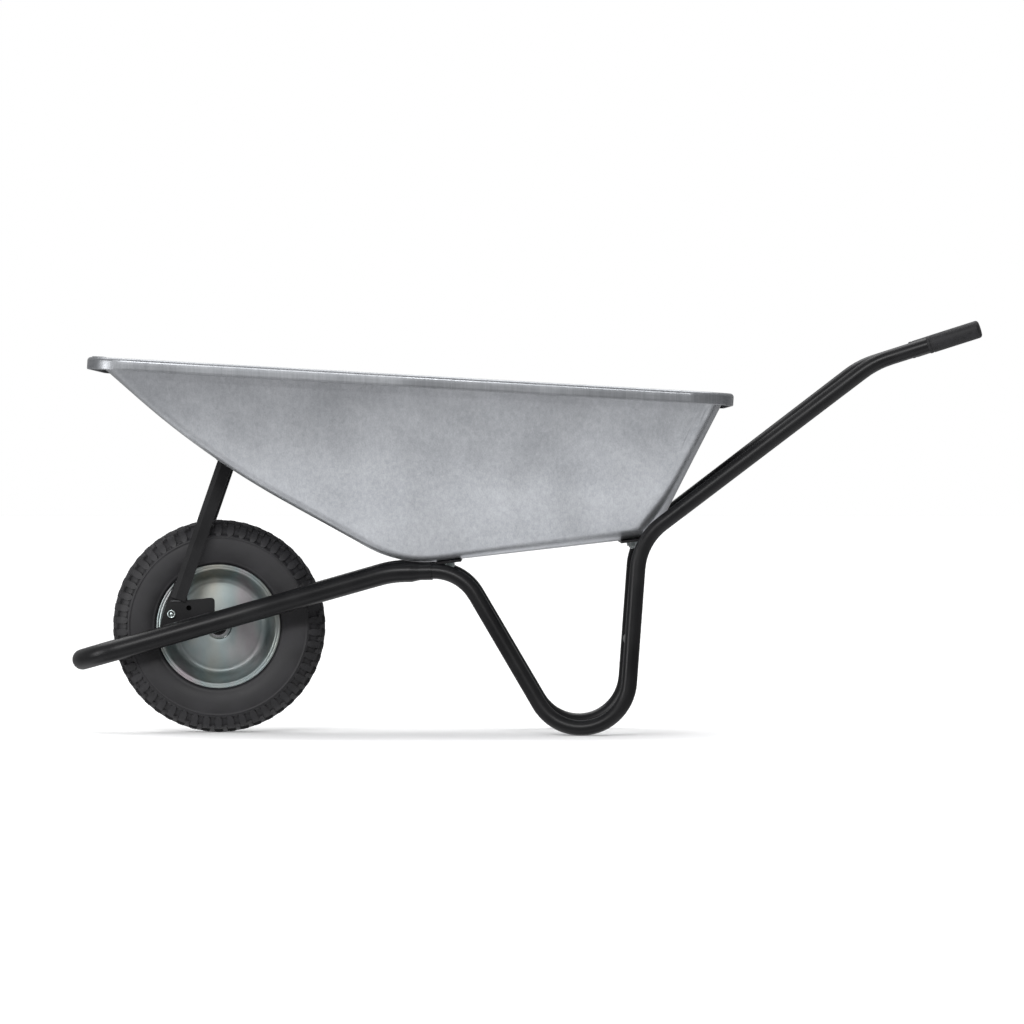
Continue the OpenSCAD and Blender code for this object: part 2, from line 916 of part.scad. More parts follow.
module inner_tube() {
    half_w = tyre_w / 2 - tyre_t - tube_gap;
    half_h = section_out - tyre_t - tube_gap;
    color(rubber_black)
        at_axle()
            rotate_extrude($fn = 96)
                difference() {
                    polygon(oval(half_w, half_h, 32));
                    polygon(oval(half_w - inner_tube_t, half_h - inner_tube_t, 32));
                }
}

// Valve: comes out of the rim on the right, leaning out from the wheel's middle
valve_lean = 25;
valve_turn = 200;
valve_root_r = 94.2;
valve_root_y = 5;
valve_l = 34;
module valve_axis() {
    rotate([0, 0, valve_turn])
        translate([valve_root_r, 0, -valve_root_y])
            rotate([0, -90 - valve_lean, 0])
                children();
}
module valve_stem() {
    color(rubber_black)
        at_axle()
            valve_axis() {
                cylinder(d = 7.6, h = valve_l - 8);
                translate([0, 0, valve_l - 8])
                    cylinder(d = 5, h = 8);
            }
}
module valve_cap() {
    color(rubber_black)
        at_axle()
            valve_axis()
                translate([0, 0, valve_l - 7.5])
                    difference() {
                        cylinder(d = 8, h = 11);
                        translate([0, 0, -eps])
                            cylinder(d = 5.2, h = 8.5);
                    }
}

tray();
front_loop();
leg_handle(-1);  // leg_handle_left
leg_handle(1);  // leg_handle_right
grip(-1);  // grip_left
grip(1);  // grip_right
front_brace();
gusset(-1);  // gusset_left
gusset(1);  // gusset_right
axle_bracket(-1);  // axle_bracket_left
axle_bracket(1);  // axle_bracket_right
bracket_bolts();
bracket_washers();
bracket_nuts();
cross_strap(front_strap_x, front_strap_half);  // front_cross_strap
cross_strap(rear_strap_x, rear_strap_half);  // rear_cross_strap
leg_cross_brace();
tray_bolts();
tray_washers();
tray_nuts();
axle_spindle();
spacer(-1);  // spacer_left
spacer(1);  // spacer_right
bearing_sleeve();
bearing_ring(-1, spindle_d / 2 + 0.02, pitch_r - race_gap);  // bearing_inner_left
bearing_ring(1, spindle_d / 2 + 0.02, pitch_r - race_gap);  // bearing_inner_right
bearing_ring(-1, pitch_r + race_gap, bearing_od / 2);  // bearing_outer_left
bearing_ring(1, pitch_r + race_gap, bearing_od / 2);  // bearing_outer_right
bearing_balls(-1);  // bearing_balls_left
bearing_balls(1);  // bearing_balls_right
bearing_cage(-1);  // bearing_cage_left
bearing_cage(1);  // bearing_cage_right
bearing_seals();
hub_tube();
rim_half(-1);  // rim_left
rim_half(1);  // rim_right
tyre();
inner_tube();
valve_stem();
valve_cap();
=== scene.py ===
"""Looks of a builder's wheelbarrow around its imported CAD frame.

Everything is in metres in the CAD frame: +Z up, +X from the wheel back to the grips, -Y on the left.
Sizes given in millimetres are multiplied by MM where they are used.
"""

import json
import math

import bmesh
import bpy
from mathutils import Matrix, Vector, noise


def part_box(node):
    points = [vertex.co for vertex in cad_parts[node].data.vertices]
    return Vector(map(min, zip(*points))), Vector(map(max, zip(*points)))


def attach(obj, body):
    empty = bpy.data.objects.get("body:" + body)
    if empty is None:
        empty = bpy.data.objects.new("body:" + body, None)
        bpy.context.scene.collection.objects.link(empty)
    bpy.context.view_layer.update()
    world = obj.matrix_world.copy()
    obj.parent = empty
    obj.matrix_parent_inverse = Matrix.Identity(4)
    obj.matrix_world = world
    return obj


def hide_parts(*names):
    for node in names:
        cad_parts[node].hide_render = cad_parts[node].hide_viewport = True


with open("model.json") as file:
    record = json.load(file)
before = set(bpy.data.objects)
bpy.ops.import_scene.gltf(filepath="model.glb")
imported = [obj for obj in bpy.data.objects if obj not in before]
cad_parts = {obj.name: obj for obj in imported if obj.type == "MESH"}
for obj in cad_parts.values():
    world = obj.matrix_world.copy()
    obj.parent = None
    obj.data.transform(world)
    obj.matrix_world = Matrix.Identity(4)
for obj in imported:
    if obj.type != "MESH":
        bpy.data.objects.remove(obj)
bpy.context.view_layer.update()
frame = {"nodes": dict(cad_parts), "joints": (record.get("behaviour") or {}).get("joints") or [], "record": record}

MM = 0.001
axle = Vector(frame["joints"][0]["pos_m"])


# ---- Mesh helpers ----
def add_piece(name, verts, faces, mat, body):
    """A smooth mesh that rides on a CAD body."""
    mesh = bpy.data.meshes.new(name)
    mesh.from_pydata([tuple(v) for v in verts], [], faces)
    mesh.update()
    mesh.materials.append(mat)
    for face in mesh.polygons:
        face.use_smooth = True
    obj = bpy.data.objects.new(name, mesh)
    bpy.context.scene.collection.objects.link(obj)
    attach(obj, body)
    return obj


def face_outwards(obj):
    """Turns a closed mesh's faces so that they all look out."""
    mesh = bmesh.new()
    mesh.from_mesh(obj.data)
    bmesh.ops.recalc_face_normals(mesh, faces=mesh.faces)
    mesh.to_mesh(obj.data)
    mesh.free()


def grid_faces(rows, cols, close_rows=False, close_cols=False):
    """Quads between points that are listed row by row."""
    faces = []
    for i in range(rows if close_rows else rows - 1):
        below = (i + 1) % rows
        for j in range(cols if close_cols else cols - 1):
            after = (j + 1) % cols
            faces.append((i * cols + j, i * cols + after, below * cols + after, below * cols + j))
    return faces


def smooth_line(points, steps):
    """Catmull-Rom curve through 2-D points."""
    line = []
    for i in range(len(points) - 1):
        p = [Vector(points[min(max(i + k, 0), len(points) - 1)]) for k in (-1, 0, 1, 2)]
        for k in range(steps):
            t = k / steps
            line.append(
                0.5 * (
                    2 * p[1] + (p[2] - p[0]) * t
                    + (2 * p[0] - 5 * p[1] + 4 * p[2] - p[3]) * t * t
                    + (3 * p[1] - p[0] - 3 * p[2] + p[3]) * t * t * t
                )
            )
    line.append(Vector(points[-1]))
    return line


def around(centre, radius, along, angle):
    """The point at a radius and an angle about a crosswise line, and a distance along it."""
    return Vector((centre.x + radius * math.cos(angle), along, centre.z + radius * math.sin(angle)))


def lathe(name, centre, outline, segments, mat, body):
    """Turns a closed outline of (radius, y) points about a crosswise line."""
    verts = []
    for k in range(segments):
        angle = 2 * math.pi * k / segments
        verts += [around(centre, r, y, angle) for r, y in outline]
    obj = add_piece(name, verts, grid_faces(segments, len(outline), True, True), mat, body)
    face_outwards(obj)
    return obj


def thickened(line, thickness):
    """Closed outline of a bent sheet whose middle line is given."""
    sides = [[], []]
    for i, p in enumerate(line):
        along = (line[min(i + 1, len(line) - 1)] - line[max(i - 1, 0)]).normalized()
        across = Vector((-along.y, along.x)) * thickness / 2
        sides[0].append(p + across)
        sides[1].append(p - across)
    return sides[0] + sides[1][::-1]


# ---- Material helpers ----
class Paint:
    """A node material; what is the same all over it goes on the shader's own sockets."""

    def __init__(self, name, **constants):
        self.mat = bpy.data.materials.new(name)
        self.mat.use_nodes = True
        self.tree = self.mat.node_tree
        self.shader = self.tree.nodes["Principled BSDF"]
        for socket, value in constants.items():
            self.shader.inputs[socket.replace("_", " ")].default_value = value
        self.place = self.tree.nodes.new("ShaderNodeTexCoord").outputs["Object"]

    def node(self, kind, inputs=(), **settings):
        new = self.tree.nodes.new("ShaderNode" + kind)
        for name, value in settings.items():
            setattr(new, name, value)
        for socket, value in dict(inputs).items():
            if isinstance(value, bpy.types.NodeSocket):
                self.tree.links.new(value, new.inputs[socket])
            else:
                new.inputs[socket].default_value = value
        return new

    def stretched(self, scale):
        return self.node("Mapping", {"Vector": self.place, "Scale": scale}).outputs["Vector"]

    def noise(self, scale, detail=3.0, place=None):
        inputs = {"Vector": place or self.place, "Scale": scale, "Detail": detail}
        return self.node("TexNoise", inputs).outputs["Fac"]

    def ramp(self, factor, stops):
        """Colours or grey values between places along the factor."""
        new = self.node("ValToRGB", {"Fac": factor})
        band = new.color_ramp
        while len(band.elements) < len(stops):
            band.elements.new(0.5)
        for element, (at, value) in zip(band.elements, stops):
            element.position = at
            element.color = (*value, 1) if isinstance(value, tuple) else (value, value, value, 1)
        return new.outputs["Color"]

    def mix(self, factor, a, b, blend="MIX"):
        new = self.node("Mix", data_type="RGBA", blend_type=blend)
        for socket, value in ((new.inputs[0], factor), (new.inputs[6], a), (new.inputs[7], b)):
            if isinstance(value, bpy.types.NodeSocket):
                self.tree.links.new(value, socket)
            else:
                socket.default_value = value
        return new.outputs[2]

    def math(self, kind, a, b=0.0):
        return self.node("Math", {0: a, 1: b}, operation=kind).outputs[0]

    def bump(self, height, strength, depth, under=None):
        inputs = {"Height": height, "Strength": strength, "Distance": depth}
        if under is not None:
            inputs["Normal"] = under
        return self.node("Bump", inputs).outputs["Normal"]

    def connect(self, colour, roughness, normal=None):
        self.tree.links.new(colour, self.shader.inputs["Base Color"])
        self.tree.links.new(roughness, self.shader.inputs["Roughness"])
        if normal is not None:
            self.tree.links.new(normal, self.shader.inputs["Normal"])
        return self.mat


def galvanised_sheet():
    """Dull galvanised sheet: cloudy zinc, fine brushing down the walls, duller rubbed patches, and painted shade
    darkening it towards the rim.
    """
    paint = Paint("galvanised_sheet", Metallic=0.80)
    brushing = paint.noise(1.0, 4.0, paint.stretched((620, 620, 11)))
    streaks = paint.noise(1.0, 3.0, paint.stretched((190, 190, 5)))
    clouds = paint.noise(11.0, 7.0)
    flakes = paint.node("TexVoronoi", {"Vector": paint.place, "Scale": 130.0}).outputs["Color"]
    flake = paint.node("SeparateColor", {"Color": flakes}).outputs[0]
    tone = paint.math("ADD", paint.math("MULTIPLY", clouds, 0.34), paint.math("MULTIPLY", brushing, 0.36))
    tone = paint.math("ADD", tone, paint.math("MULTIPLY", streaks, 0.30))
    colour = paint.ramp(tone, [
        (0.34, (0.268, 0.280, 0.298)), (0.50, (0.332, 0.344, 0.363)), (0.66, (0.400, 0.412, 0.431))])
    colour = paint.mix(0.07, colour, paint.ramp(flake, [(0, 0.12), (1, 0.50)]))
    # Painted shade: the colour darkens with height above 0.45 m towards the rim, its edge moved a little by noise
    axes = paint.node("SeparateXYZ", {0: paint.place})
    up = paint.math("ADD", axes.outputs["Z"], paint.math("MULTIPLY", paint.noise(5.0, 3.0), 0.09))
    painted_shade_near_rim = paint.ramp(up, [(0.45, 1.0), (0.60, 0.54)])
    colour = paint.mix(0.9, colour, painted_shade_near_rim, "MULTIPLY")
    rubbed = paint.ramp(paint.noise(3.2, 6.0, paint.stretched((3.0, 3.0, 0.8))), [(0.42, 0.0), (0.62, 1.0)])
    roughness = paint.mix(rubbed, (0.30, 0.30, 0.30, 1), (0.40, 0.40, 0.40, 1))
    normal = paint.bump(brushing, 0.25, 0.0002)
    normal = paint.bump(clouds, 0.08, 0.0010, normal)
    return paint.connect(colour, roughness, normal)


def black_paint():
    """Satin black powder coat with orange peel and a few thin, duller patches."""
    paint = Paint("black_powder_coat", Specular_IOR_Level=0.16)
    peel = paint.noise(620.0, 2.0)
    patches = paint.noise(16.0, 6.0)
    colour = paint.ramp(patches, [(0.35, (0.0045, 0.0045, 0.0050)), (0.65, (0.0075, 0.0075, 0.0081))])
    roughness = paint.ramp(patches, [(0.30, 0.30), (0.72, 0.42)])
    return paint.connect(colour, roughness, paint.bump(peel, 0.16, 0.0002))


def zinc_plate(name, turned, smooth, dull):
    """Zinc plate with a faint blue, yellow and pink passivation tint; turned rings on pressed discs."""
    paint = Paint(name, Metallic=1.0)
    tint = paint.noise(9.0, 3.0, paint.stretched((1.6, 1.0, 0.5)))
    colour = paint.ramp(tint, [
        (0.28, (0.470, 0.400, 0.435)), (0.40, (0.415, 0.428, 0.430)), (0.50, (0.345, 0.425, 0.428)),
        (0.60, (0.385, 0.420, 0.392)), (0.74, (0.480, 0.455, 0.372))])
    fog = paint.noise(40.0, 6.0)
    colour = paint.mix(0.30, colour, paint.ramp(fog, [(0.35, 0.22), (0.65, 0.48)]))
    roughness = paint.ramp(fog, [(0.30, smooth), (0.70, dull)])
    if turned:
        apart = paint.node("VectorMath", {0: paint.place, 1: tuple(axle)}, operation="SUBTRACT")
        flat = paint.node("VectorMath", {0: apart.outputs[0], 1: (1, 0, 1)}, operation="MULTIPLY")
        radius = paint.node("VectorMath", {0: flat.outputs[0]}, operation="LENGTH").outputs["Value"]
        rings = paint.node("TexNoise", {"W": radius, "Scale": 900.0, "Detail": 3.0}, noise_dimensions="1D")
        normal = paint.bump(rings.outputs["Fac"], 0.20, 0.00012)
    else:
        normal = paint.bump(paint.noise(700.0, 3.0), 0.15, 0.0001)
    return paint.connect(colour, roughness, normal)


def bright_steel():
    """Ground bright steel."""
    paint = Paint("ground_steel", Metallic=1.0)
    grinding = paint.noise(1.0, 3.0, paint.stretched((300, 1500, 300)))
    colour = paint.ramp(grinding, [(0.3, (0.42, 0.42, 0.43)), (0.7, (0.58, 0.58, 0.60))])
    roughness = paint.ramp(paint.noise(60.0), [(0.3, 0.22), (0.7, 0.34)])
    return paint.connect(colour, roughness, paint.bump(grinding, 0.12, 0.0001))


def rubber(name, dark, light, rough):
    """Matt moulded rubber with dust in its pores; tints lean a little to purple-grey."""
    paint = Paint(name, Specular_IOR_Level=0.28)
    bloom = paint.noise(22.0, 6.0)
    pores = paint.noise(1400.0, 2.0)
    colour = paint.ramp(bloom, [(0.32, dark), (0.70, light)])
    roughness = paint.ramp(bloom, [(0.30, rough - 0.08), (0.70, rough + 0.08)])
    normal = paint.bump(pores, 0.20, 0.00015)
    normal = paint.bump(bloom, 0.08, 0.0006, normal)
    return paint.connect(colour, roughness, normal)


def grip_plastic():
    """Grained matt black plastic."""
    paint = Paint("grip_plastic", Specular_IOR_Level=0.16)
    grain = paint.node("TexVoronoi", {"Vector": paint.place, "Scale": 820.0}).outputs["Distance"]
    mottle = paint.noise(90.0, 4.0)
    colour = paint.ramp(mottle, [(0.35, (0.0085, 0.0085, 0.0092)), (0.68, (0.0155, 0.0155, 0.0168))])
    roughness = paint.ramp(mottle, [(0.30, 0.50), (0.70, 0.64)])
    return paint.connect(colour, roughness, paint.bump(grain, 0.30, 0.0003))


def weld_metal():
    """A weld bead under the black coat: a little rougher and uneven, and lighter than the coat as a painted
    highlight along the bead.
    """
    paint = Paint("weld_with_painted_highlight", Specular_IOR_Level=0.50)
    spatter = paint.noise(260.0, 4.0)
    # Painted highlight: the bead's black is a few times lighter than the coat's, on top of its real uneven spatter
    colour = paint.ramp(spatter, [(0.35, (0.016, 0.016, 0.017)), (0.70, (0.040, 0.040, 0.043))])
    roughness = paint.ramp(spatter, [(0.3, 0.34), (0.7, 0.52)])
    return paint.connect(colour, roughness, paint.bump(spatter, 0.35, 0.0004))


def painted_shadow_black():
    """Flat black with hardly any sheen: painted shadow for the inside of a hole."""
    paint = Paint("hole_painted_shadow", Specular_IOR_Level=0.02)
    # The noise only mottles this painted shadow's black a little
    dust = paint.noise(300.0, 3.0)
    colour = paint.ramp(dust, [(0.3, 0.0006), (0.7, 0.0014)])
    return paint.connect(colour, paint.ramp(dust, [(0.3, 0.8), (0.7, 0.95)]), paint.bump(dust, 0.1, 0.0001))


SHEET = galvanised_sheet()
SHADE = painted_shadow_black()
BLACK = black_paint()
ZINC = zinc_plate("zinc_hardware", False, 0.24, 0.38)
RIM_ZINC = zinc_plate("zinc_rim", True, 0.42, 0.54)
STEEL = bright_steel()
TYRE = rubber("tyre_rubber", (0.0105, 0.0102, 0.0112), (0.0185, 0.0180, 0.0200), 0.58)
RUBBER = rubber("black_rubber", (0.009, 0.009, 0.009), (0.016, 0.016, 0.016), 0.55)
GRIP = grip_plastic()
WELD = weld_metal()

SLOT_MATERIAL = {
    "galvanised": SHEET, "black_paint": BLACK, "zinc_plate": ZINC, "bright_steel": STEEL,
    "tyre": TYRE, "rubber": RUBBER, "grip": GRIP,
}


# ---- CAD pieces that stay as they are ----
def paint_cad_nodes():
    for part in frame["record"]["subparts"]:
        node = frame["nodes"][part["node"]]
        node.data.materials.clear()
        node.data.materials.append(SLOT_MATERIAL[part["material_slot"]])


def soften(name, width):
    """Rounds a CAD plate's cut edges."""
    node = frame["nodes"][name]
    weld = node.modifiers.new("weld", "WELD")
    weld.merge_threshold = 0.00002
    edge = node.modifiers.new("edge", "BEVEL")
    edge.width = width
    edge.segments = 2
    edge.limit_method = "ANGLE"
    edge.angle_limit = math.radians(40)
    node.modifiers.new("shade", "WEIGHTED_NORMAL").keep_sharp = True


paint_cad_nodes()
EDGE_SOFTNESS = 0.0005
for plate in ("gusset_left", "gusset_right", "axle_bracket_left", "axle_bracket_right", "front_brace",
              "front_cross_strap", "rear_cross_strap", "bracket_nuts", "tray_nuts"):
    soften(plate, EDGE_SOFTNESS)


# ---- Tray: one sheet with a turned-down rim ----
# Sizes in mm. The rim's plane falls to the rear and passes through RIM_Z at MID_X
RIM_Z = 575.3
RIM_FALL = math.radians(3.28)
MID_X = -14.4
SHEET_T = 1.2
TRAY_FRONT, TRAY_REAR = -696.0, 331.0
SIDE_PER_X, SIDE_PER_Z = 0.03, 0.54
RIM_HALF_W = 315.0
LIP_H, LIP_EDGE_R = 20.0, 6.0
LIP_SIDE_W, LIP_FRONT_W, LIP_REAR_W = 13.8, 7.0, 11.0
LIP_CORNER_R = (70.0, 74.0)


def rim_top(x):
    return RIM_Z - (x - MID_X) * math.tan(RIM_FALL)


# The bowl's side profile, the radius at its corners, and the radius of the bowl's edges there
PROFILE = [
    Vector((TRAY_FRONT, rim_top(TRAY_FRONT))), Vector((-516, 453.5)), Vector((-199, 275)),
    Vector((214, 322.7)), Vector((TRAY_REAR, rim_top(TRAY_REAR))),
]
PROFILE_R = (0, 1300, 195, 38, 0)
EDGE_R = (54, 26, 26, 38, 56)
SIDE_NORMAL = Vector((-SIDE_PER_X, 1, -SIDE_PER_Z))
RIM_PLACE = Vector((MID_X, 0, RIM_Z))
RIM_ALONG = Vector((math.cos(RIM_FALL), 0, -math.sin(RIM_FALL)))
RIM_UP = Vector((math.sin(RIM_FALL), 0, math.cos(RIM_FALL)))


def side_w(x, z):
    return RIM_HALF_W + SIDE_PER_X * (x - TRAY_REAR) + SIDE_PER_Z * (z - rim_top(TRAY_REAR))


def inward(d):
    return Vector((-d.y, d.x))


def line_dir(i):
    return (PROFILE[i + 1] - PROFILE[i]).normalized()


def bowl_stations():
    """Balls that round the bowl's edges: centre, direction along the profile and radius."""
    overshoot = 40
    bend_steps = 12
    run_steps = (26, 10, 30, 40)
    front = PROFILE[0] - line_dir(0) * overshoot + inward(line_dir(0)) * EDGE_R[0]
    rear = PROFILE[4] + line_dir(3) * overshoot + inward(line_dir(3)) * EDGE_R[4]
    bends = [[(front, line_dir(0), EDGE_R[0])]]
    for i in (1, 2, 3):
        a, b = line_dir(i - 1), line_dir(i)
        centre = PROFILE[i] + (b - a).normalized() * PROFILE_R[i] / math.cos(a.angle(b) / 2)
        bend = []
        for k in range(bend_steps + 1):
            d = (a * (bend_steps - k) + b * k).normalized()
            bend.append((centre - inward(d) * (PROFILE_R[i] - EDGE_R[i]), d, EDGE_R[i]))
        bends.append(bend)
    bends.append([(rear, line_dir(3), EDGE_R[4])])
    stations = []
    for i, bend in enumerate(bends):
        stations += bend
        if i < len(run_steps):
            here, there = bend[-1], bends[i + 1][0]
            for k in range(1, run_steps[i]):
                t = k / run_steps[i]
                stations.append(tuple(here[j] * (1 - t) + there[j] * t for j in range(3)))
    return stations


# Pressing creases at the rear corners, as lines in the side view: ends, depth and width, in mm
CREASES = (
    (Vector((289.5, 536)), Vector((259.8, 470)), 2.6, 2.6),
    (Vector((300.5, 538)), Vector((291.0, 515)), 1.8, 2.2),
    (Vector((271.0, 510)), Vector((255.0, 478)), 1.0, 2.6),
)


def crease_depth(p):
    """How far the creases press the sheet in at a place."""
    depth = 0
    for start, end, deep, width in CREASES:
        run = end - start
        at = Vector((p.x, p.z)) - start
        t = at.dot(run) / run.length_squared
        off = (at - run * min(max(t, 0), 1)).length
        depth = max(depth, deep * math.exp(-(off / width) ** 2))
    return depth


def bowl_section(centre, d, radius):
    """Half of the bowl's section at a station, from the middle to above the rim, on the load's side."""
    arc_steps = 26
    flat_steps = 9
    wall_steps = 26
    out = Vector((d.y, 0, -d.x))
    side = SIDE_NORMAL.normalized()
    ball = Vector((centre.x, side_w(centre.x, centre.y) - radius * SIDE_NORMAL.length, centre.y))
    rounding = radius - SHEET_T
    points = []
    first = ball + out * rounding
    for k in range(flat_steps):
        points.append(Vector((first.x, first.y * k / flat_steps, first.z)))
    for k in range(arc_steps + 1):
        points.append(ball + out.slerp(side, k / arc_steps) * rounding)
    foot = points[-1]
    past_rim = 60
    rise = rim_top(foot.x) + past_rim - foot.z
    for k in range(1, wall_steps + 1):
        climb = rise * k / wall_steps
        points.append(foot + Vector((0, SIDE_PER_Z * climb, climb)))
    return points


def outline_gap(x, y):
    """Signed distance from the rim's outer outline, in the rim's plane; negative inside."""
    front = (TRAY_FRONT - LIP_FRONT_W - MID_X) / math.cos(RIM_FALL)
    rear = (TRAY_REAR + LIP_REAR_W - MID_X) / math.cos(RIM_FALL)
    middle, half_l = (front + rear) / 2, (rear - front) / 2
    r = LIP_CORNER_R[0] if x < middle else LIP_CORNER_R[1]
    q = Vector((abs(x - middle) - half_l + r, abs(y) - RIM_HALF_W - LIP_SIDE_W + r))
    return Vector((max(q.x, 0), max(q.y, 0))).length + min(max(q.x, q.y), 0) - r


def ordered_loop(edges):
    """The vertices of one closed loop of edges, in order."""
    links = {}
    for edge in edges:
        for v in edge.verts:
            links.setdefault(v, []).append(edge.other_vert(v))
    start = min(links, key=lambda v: (round(v.co.x, 4), round(v.co.y, 4)))
    loop = [start]
    while True:
        nexts = [v for v in links[loop[-1]] if len(loop) < 2 or v != loop[-2]]
        if nexts[0] == start:
            return loop
        loop.append(nexts[0])


LIP_START = 3.0


def lip_section(reach, lean):
    """Section of the rim from the wall: (out along the rim's plane, up), in mm."""
    join_run = 3
    hem_r, hem_w = 1.6, 4
    join = LIP_START * lean
    flat_from = min(join + join_run, reach - LIP_EDGE_R)
    points = []
    for k in range(1, 7):
        t = k / 6
        points.append((2 * (1 - t) * t * join + t * t * flat_from, -LIP_START * (1 - t) ** 2))
    for t in (0.25, 0.5, 0.75):
        points.append((points[5][0] * (1 - t) + (reach - LIP_EDGE_R) * t, 0))
    for k in range(9):
        a = math.radians(90 * k / 8)
        points.append((reach - LIP_EDGE_R * (1 - math.sin(a)), -LIP_EDGE_R * (1 - math.cos(a))))
    for drop in (11.5, 15):
        points.append((reach, -drop))
    for k in range(5):
        a = math.radians(90 * k / 4)
        points.append((reach - hem_r * (1 - math.cos(a)), hem_r - LIP_H - hem_r * math.sin(a)))
    points.append((reach - hem_w, -LIP_H))
    return points


def face_load_side(mesh):
    """Turns an open sheet's faces so that the floor's look up."""
    mesh.normal_update()
    floor_face = min(mesh.faces, key=lambda f: f.calc_center_median().z)
    if floor_face.normal.z < 0:
        bmesh.ops.reverse_faces(mesh, faces=mesh.faces[:])
    mesh.normal_update()


def make_tray():
    rows = []
    for station in bowl_stations():
        half = bowl_section(*station)
        rows.append([Vector((p.x, -p.y, p.z)) for p in half[:0:-1]] + half)
    verts = [p for row in rows for p in row]
    mesh = bmesh.new()
    made = [mesh.verts.new(p) for p in verts]
    for face in grid_faces(len(rows), len(rows[0])):
        mesh.faces.new([made[i] for i in face])
    bmesh.ops.bisect_plane(
        mesh, geom=mesh.verts[:] + mesh.edges[:] + mesh.faces[:], dist=0.001,
        plane_co=RIM_PLACE - RIM_UP * LIP_START, plane_no=RIM_UP, clear_outer=True,
    )
    bmesh.ops.remove_doubles(mesh, verts=mesh.verts[:], dist=0.05)
    face_load_side(mesh)

    # Slow waves of a pressed sheet, and the creases; both fade out under the rim
    wave_size, wave_height = 130.0, 0.35
    plain_h, fade_h = 12, 40
    creases_from_x = 230
    for v in mesh.verts:
        below = (RIM_PLACE - v.co).dot(RIM_UP)
        fade = min(max((below - plain_h) / fade_h, 0), 1)
        wave = (noise.noise(v.co / wave_size) + 1) * wave_height
        crease = crease_depth(v.co) if v.co.x > creases_from_x else 0
        v.co += v.normal * (wave + crease) * fade

    loop = ordered_loop([e for e in mesh.edges if e.is_boundary])
    count = len(loop)
    middle = sum((v.co for v in loop), Vector()) / count
    rings = [loop]
    sections = []
    # Each section runs square out from the wall's edge as far as the rim's outline
    reach_steps = 30
    for i, v in enumerate(loop):
        along = (loop[(i + 1) % count].co - loop[i - 1].co).normalized()
        out = along.cross(RIM_UP).normalized()
        if out.dot(v.co - middle) < 0:
            out = -out
        lean = min(max(-v.normal.dot(RIM_UP) / v.normal.dot(out), 0.05), 1.6)
        at = v.co - RIM_PLACE
        x, y = at.dot(RIM_ALONG), at.y
        step = Vector((out.dot(RIM_ALONG), out.y))
        reach = 0
        for _ in range(reach_steps):
            reach -= outline_gap(x + step.x * reach, y + step.y * reach)
        base = v.co + RIM_UP * LIP_START
        sections.append([base + out * a + RIM_UP * h for a, h in lip_section(reach, lean)])
    for k in range(len(sections[0])):
        rings.append([mesh.verts.new(section[k]) for section in sections])
    for inner, outer in zip(rings, rings[1:]):
        for i in range(count):
            j = (i + 1) % count
            mesh.faces.new((inner[i], inner[j], outer[j], outer[i]))
    bmesh.ops.recalc_face_normals(mesh, faces=mesh.faces)
    face_load_side(mesh)
    for v in mesh.verts:
        v.co *= MM
    data = bpy.data.meshes.new("tray_sheet")
    mesh.to_mesh(data)
    mesh.free()
    data.materials.append(SHEET)
    for face in data.polygons:
        face.use_smooth = True
    obj = bpy.data.objects.new("tray_sheet", data)
    bpy.context.scene.collection.objects.link(obj)
    wall = obj.modifiers.new("sheet", "SOLIDIFY")
    wall.thickness = SHEET_T * MM
    wall.offset = -1
    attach(obj, "frame")
    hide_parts("tray")


make_tray()


